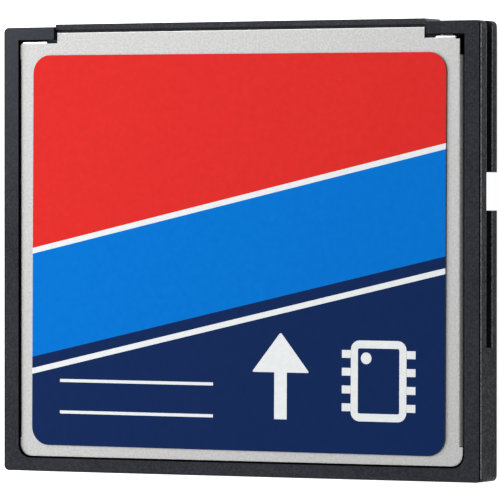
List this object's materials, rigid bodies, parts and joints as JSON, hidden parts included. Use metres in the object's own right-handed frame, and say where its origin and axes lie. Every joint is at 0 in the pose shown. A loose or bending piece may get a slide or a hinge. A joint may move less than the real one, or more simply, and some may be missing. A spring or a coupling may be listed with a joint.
{
  "type": "compact flash card",
  "caption": "Flat type I memory card: a moulded frame with guide grooves and a finger lip, folded steel covers, a printed label and a two-row socket connector.",
  "frame": {"origin": "middle of the footprint, on the plane under the finger lip", "axes": "+X across the card to the narrow-groove side, +Y towards the connector end, +Z out of the label side"},
  "size_m": [0.0428, 0.0364, 0.0039],
  "materials": {
    "frame_plastic": "fine spark-eroded grain, dark grey",
    "connector_resin": "smooth moulded, near black",
    "cover_steel": "fine matt stainless sheet",
    "label_film": "satin printed film in red, blue and navy",
    "board_laminate": "green solder mask",
    "chip_package": "moulded package",
    "crystal_can": "plated can",
    "capacitor_body": "moulded",
    "contact_metal": "gold flash over spring bronze"
  },
  "bodies": {
    "root": {"frame": "frame_plastic", "connector_housing": "connector_resin", "front_cover": "cover_steel", "rear_cover": "cover_steel", "front_label": "label_film", "circuit_board": "board_laminate", "flash_chip": "chip_package", "controller_chip": "chip_package", "crystal": "crystal_can", "tantalum_capacitor": "capacitor_body", "contact_01": "contact_metal", "contact_02": "contact_metal", "contact_03": "contact_metal", "contact_04": "contact_metal", "contact_05": "contact_metal", "contact_06": "contact_metal", "contact_07": "contact_metal", "contact_08": "contact_metal", "contact_09": "contact_metal", "contact_10": "contact_metal", "contact_11": "contact_metal", "contact_12": "contact_metal", "contact_13": "contact_metal", "contact_14": "contact_metal", "contact_15": "contact_metal", "contact_16": "contact_metal", "contact_17": "contact_metal", "contact_18": "contact_metal", "contact_19": "contact_metal", "contact_20": "contact_metal", "contact_21": "contact_metal", "contact_22": "contact_metal", "contact_23": "contact_metal", "contact_24": "contact_metal", "contact_25": "contact_metal", "contact_26": "contact_metal", "contact_27": "contact_metal", "contact_28": "contact_metal", "contact_29": "contact_metal", "contact_30": "contact_metal", "contact_31": "contact_metal", "contact_32": "contact_metal", "contact_33": "contact_metal", "contact_34": "contact_metal", "contact_35": "contact_metal", "contact_36": "contact_metal", "contact_37": "contact_metal", "contact_38": "contact_metal", "contact_39": "contact_metal", "contact_40": "contact_metal", "contact_41": "contact_metal", "contact_42": "contact_metal", "contact_43": "contact_metal", "contact_44": "contact_metal", "contact_45": "contact_metal", "contact_46": "contact_metal", "contact_47": "contact_metal", "contact_48": "contact_metal", "contact_49": "contact_metal", "contact_50": "contact_metal"}
  },
  "joints": []
}
